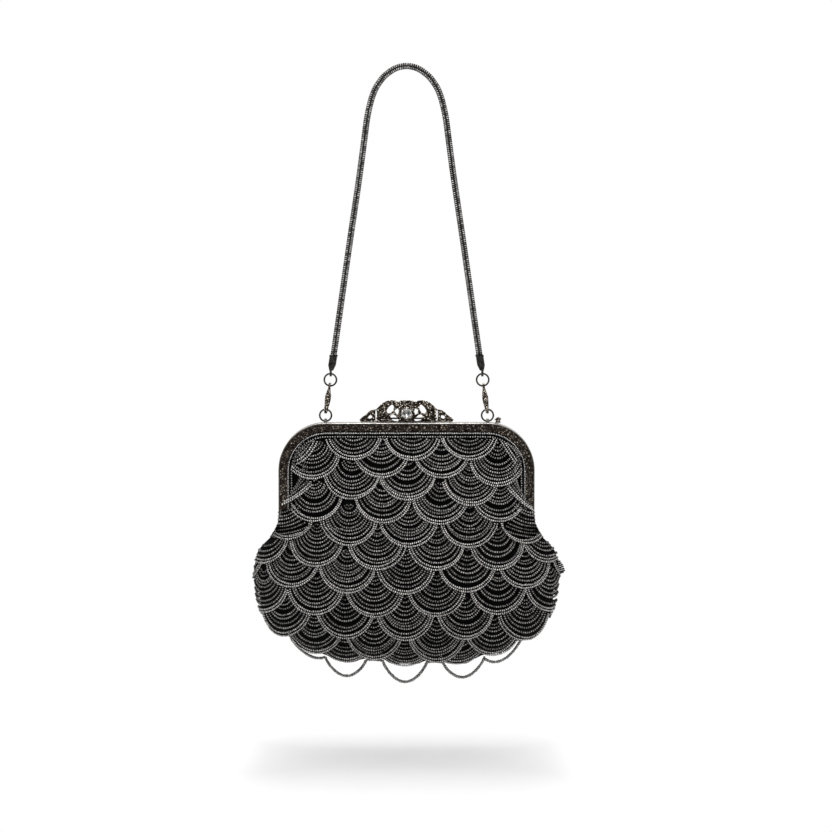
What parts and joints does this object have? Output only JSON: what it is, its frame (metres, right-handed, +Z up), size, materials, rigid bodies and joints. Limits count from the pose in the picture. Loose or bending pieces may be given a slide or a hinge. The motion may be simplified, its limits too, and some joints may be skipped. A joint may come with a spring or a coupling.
{
  "type": "beaded handbag",
  "caption": "Evening handbag with a hinged metal frame, a pierced crest latch with a crystal, a chain handle on lobster clasps and scalloped rows of hanging bead strands.",
  "frame": {"origin": "under the top of the strap, where a hand or hook carries the bag", "axes": "+Z up along the hanging bag, +Y towards its back, so the front with the crystal faces -Y, +X to the right as seen from the front"},
  "size_m": [0.216, 0.0654, 0.4312],
  "materials": {
    "strap_metal": "dark gunmetal plating on a woven chain",
    "ring_metal": "gunmetal plating, polished",
    "frame_metal": "antique pewter plating with a stippled face and a polished rim",
    "crest_metal": "antique pewter casting with a granular face",
    "crystal": "clear cut stone with a foil back",
    "black_cloth": "black woven cloth",
    "black_satin": "black satin",
    "jet_beads": "black and gunmetal glass seed beads on strands",
    "bright_beads": "silver-grey glass seed beads"
  },
  "bodies": {
    "strap": {"strap_chain": "strap_metal", "strap_end_cap_left": "strap_metal", "strap_end_cap_right": "strap_metal"},
    "upper_ring_left": {"upper_ring_left": "ring_metal"},
    "upper_ring_right": {"upper_ring_right": "ring_metal"},
    "clasp_left": {"clasp_body_left": "ring_metal", "clasp_pin_left": "ring_metal"},
    "clasp_right": {"clasp_body_right": "ring_metal", "clasp_pin_right": "ring_metal"},
    "gate_left": {"clasp_gate_left": "ring_metal"},
    "gate_right": {"clasp_gate_right": "ring_metal"},
    "lower_ring_left": {"lower_ring_left": "ring_metal"},
    "lower_ring_right": {"lower_ring_right": "ring_metal"},
    "front_half": {"front_frame": "frame_metal", "bead_edging_front": "bright_beads", "bead_tier_front_1": "jet_beads", "bead_tier_front_2": "jet_beads", "bead_tier_front_3": "jet_beads", "bead_tier_front_4": "jet_beads", "bead_tier_front_5": "jet_beads", "lining_flap_front": "black_satin", "shell_flap_front": "black_cloth"},
    "latch": {"crest": "crest_metal", "crystal_setting": "crest_metal", "crystal": "crystal"},
    "bag": {"bead_edging_rear": "bright_beads", "bead_hem_festoon": "bright_beads", "bead_tier_rear_1": "jet_beads", "bead_tier_rear_2": "jet_beads", "bead_tier_rear_3": "jet_beads", "bead_tier_rear_4": "jet_beads", "bead_tier_rear_5": "jet_beads", "bead_tier_round_10": "jet_beads", "bead_tier_round_5": "jet_beads", "bead_tier_round_6": "jet_beads", "bead_tier_round_7": "jet_beads", "bead_tier_round_8": "jet_beads", "bead_tier_round_9": "jet_beads", "frame_knob": "crest_metal", "hinge_rivet_left": "frame_metal", "hinge_rivet_right": "frame_metal", "latch_bracket": "frame_metal", "latch_pin": "frame_metal", "latch_spring": "ring_metal", "lining_flap_rear": "black_satin", "lining_pouch": "black_satin", "rear_frame": "frame_metal", "ring_lug_left": "frame_metal", "ring_lug_right": "frame_metal", "shell_flap_rear": "black_cloth", "shell_pouch": "black_cloth"}
  },
  "joints": [
    {"name": "upper_ring_left_swing", "type": "hinge", "parent": "strap", "child": "upper_ring_left", "pos_m": [-0.05351, 0, -0.2138], "axis": [1, 0, 0], "range_deg": [-30, 30]},
    {"name": "clasp_left_swing", "type": "hinge", "parent": "upper_ring_left", "child": "clasp_left", "pos_m": [-0.05411, 0, -0.2222], "axis": [1, 0, 0], "range_deg": [-30, 30]},
    {"name": "gate_left_open", "type": "hinge", "parent": "clasp_left", "child": "gate_left", "pos_m": [-0.05503, -0.0027, -0.2286], "axis": [1, 0, 0], "range_deg": [0, 20], "stiffness_Nm_per_rad": 0.02, "springref_deg": -17.19},
    {"name": "lower_ring_left_swing", "type": "hinge", "parent": "clasp_left", "child": "lower_ring_left", "pos_m": [-0.05691, 0, -0.23895], "axis": [1, 0, 0], "range_deg": [-30, 30]},
    {"name": "upper_ring_right_swing", "type": "hinge", "parent": "strap", "child": "upper_ring_right", "pos_m": [0.05351, 0, -0.2138], "axis": [1, 0, 0], "range_deg": [-30, 30]},
    {"name": "clasp_right_swing", "type": "hinge", "parent": "upper_ring_right", "child": "clasp_right", "pos_m": [0.05411, 0, -0.2222], "axis": [1, 0, 0], "range_deg": [-30, 30]},
    {"name": "gate_right_open", "type": "hinge", "parent": "clasp_right", "child": "gate_right", "pos_m": [0.05503, -0.0027, -0.2286], "axis": [1, 0, 0], "range_deg": [0, 20], "stiffness_Nm_per_rad": 0.02, "springref_deg": -17.19},
    {"name": "lower_ring_right_swing", "type": "hinge", "parent": "clasp_right", "child": "lower_ring_right", "pos_m": [0.05691, 0, -0.23895], "axis": [1, 0, 0], "range_deg": [-30, 30]},
    {"name": "bag_swing", "type": "hinge", "parent": "lower_ring_left", "child": "bag", "pos_m": [-0.05691, 0, -0.24705], "axis": [1, 0, 0], "range_deg": [-40, 40]},
    {"name": "frame_open", "type": "hinge", "parent": "bag", "child": "front_half", "pos_m": [0, -0.0021, -0.316], "axis": [1, 0, 0], "range_deg": [0, 50], "deforming": ["bead_edging_front", "bead_tier_front_1", "bead_tier_front_2", "bead_tier_front_3", "bead_tier_front_4", "bead_tier_front_5", "lining_flap_front", "shell_flap_front"]},
    {"name": "latch_lift", "type": "hinge", "parent": "bag", "child": "latch", "pos_m": [0, 0.0021, -0.2452], "axis": [-1, 0, 0], "range_deg": [0, 25], "stiffness_Nm_per_rad": 0.1, "springref_deg": -17.19}
  ],
  "couplings": [
    {"joint": "upper_ring_right_swing", "follows": "upper_ring_left_swing", "ratio": 1},
    {"joint": "clasp_right_swing", "follows": "clasp_left_swing", "ratio": 1},
    {"joint": "lower_ring_right_swing", "follows": "lower_ring_left_swing", "ratio": 1}
  ]
}
